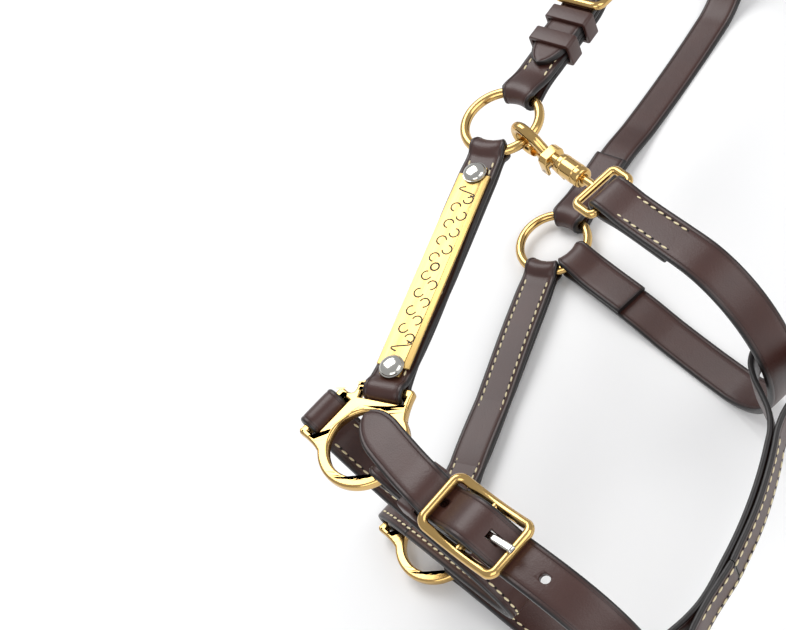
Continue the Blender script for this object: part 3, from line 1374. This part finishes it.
class HEADCOLLAR_OT_castings(bpy.types.Operator):
    """Add the two cheek squares and the three rings"""
    bl_idname = "headcollar.castings"
    bl_label = "Squares and rings"
    bl_options = {"REGISTER", "UNDO"}

    def execute(self, context):
        ready(context)
        build_square("cheek_square_near", NEAR)
        build_square("cheek_square_off", OFF)
        x_axis, y_axis = Vector((1, 0, 0)), Vector((0, 1, 0))
        build_ring("upper_ring_near", UPPER, x_axis, y_axis, "upper_ring_near")
        build_ring("upper_ring_off", UPPER - UP * SIDE_SPACING, x_axis, y_axis, "upper_ring_off")
        build_ring("lead_ring", LEAD, CHIN.across, UP, "lead_ring")
        return {"FINISHED"}


class HEADCOLLAR_OT_buckles(bpy.types.Operator):
    """Add the two buckles with their tongues"""
    bl_idname = "headcollar.buckles"
    bl_label = "Buckles"
    bl_options = {"REGISTER", "UNDO"}

    def execute(self, context):
        ready(context)
        build_buckle("chin", CHIN, CHIN_BUCKLE)
        build_buckle("crown", CROWN, CROWN_BUCKLE)
        return {"FINISHED"}


class HEADCOLLAR_OT_plate(bpy.types.Operator):
    """Add the nameplate, its ornament and its rivets"""
    bl_idname = "headcollar.plate"
    bl_label = "Nameplate and rivets"
    bl_options = {"REGISTER", "UNDO"}

    def execute(self, context):
        ready(context)
        build_plate()
        return {"FINISHED"}


class HEADCOLLAR_OT_snap(bpy.types.Operator):
    """Add the trigger snap and its swivel eye"""
    bl_idname = "headcollar.snap"
    bl_label = "Trigger snap"
    bl_options = {"REGISTER", "UNDO"}

    def execute(self, context):
        ready(context)
        build_snap()
        return {"FINISHED"}


class HEADCOLLAR_OT_small_metal(bpy.types.Operator):
    """Give the burrs, the pin and the spring their metals"""
    bl_idname = "headcollar.small_metal"
    bl_label = "Small metal"
    bl_options = {"REGISTER", "UNDO"}

    def execute(self, context):
        ready(context)
        dress_small_metal()
        return {"FINISHED"}


class HEADCOLLAR_OT_stage(bpy.types.Operator):
    """Add the floor, lights and camera"""
    bl_idname = "headcollar.stage"
    bl_label = "Stage"
    bl_options = {"REGISTER", "UNDO"}

    def execute(self, context):
        ready(context)
        build_floor()
        build_lights()
        build_camera(context.scene.headcollar_stage)
        return {"FINISHED"}


STEPS = (HEADCOLLAR_OT_cheeks, HEADCOLLAR_OT_noseband, HEADCOLLAR_OT_chapes, HEADCOLLAR_OT_chin,
         HEADCOLLAR_OT_crown, HEADCOLLAR_OT_throatlatch, HEADCOLLAR_OT_joining, HEADCOLLAR_OT_keepers,
         HEADCOLLAR_OT_castings, HEADCOLLAR_OT_buckles, HEADCOLLAR_OT_plate, HEADCOLLAR_OT_snap,
         HEADCOLLAR_OT_small_metal, HEADCOLLAR_OT_stage)


class HEADCOLLAR_PT_panel(bpy.types.Panel):
    """Colours, camera and a button for every building step"""
    bl_label = "Headcollar"
    bl_space_type = "VIEW_3D"
    bl_region_type = "UI"
    bl_category = "Headcollar"

    def draw(self, context):
        layout = self.layout
        for name in ("leather", "thread", "brass"):
            layout.prop(context.scene.headcollar_colours, name)
        for name in ("tilt", "heading", "roll", "distance", "view_angle", "aim"):
            layout.prop(context.scene.headcollar_stage, name)
        for step in STEPS:
            layout.operator(step.bl_idname)


CLASSES = (HeadcollarColours, HeadcollarStage, *STEPS, HEADCOLLAR_PT_panel)


def register():
    for cls in CLASSES:
        bpy.utils.register_class(cls)
    bpy.types.Scene.headcollar_colours = bpy.props.PointerProperty(type=HeadcollarColours)
    bpy.types.Scene.headcollar_stage = bpy.props.PointerProperty(type=HeadcollarStage)


def unregister():
    del bpy.types.Scene.headcollar_stage
    del bpy.types.Scene.headcollar_colours
    for cls in reversed(CLASSES):
        bpy.utils.unregister_class(cls)


def corners():
    """The visible model's lowest and highest corners as plain lists."""
    return [list(corner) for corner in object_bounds()]


def main():
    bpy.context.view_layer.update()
    register()
    for step in STEPS:
        group, name = step.bl_idname.split(".")
        getattr(getattr(bpy.ops, group), name)()


if __name__ == "__main__":
    main()
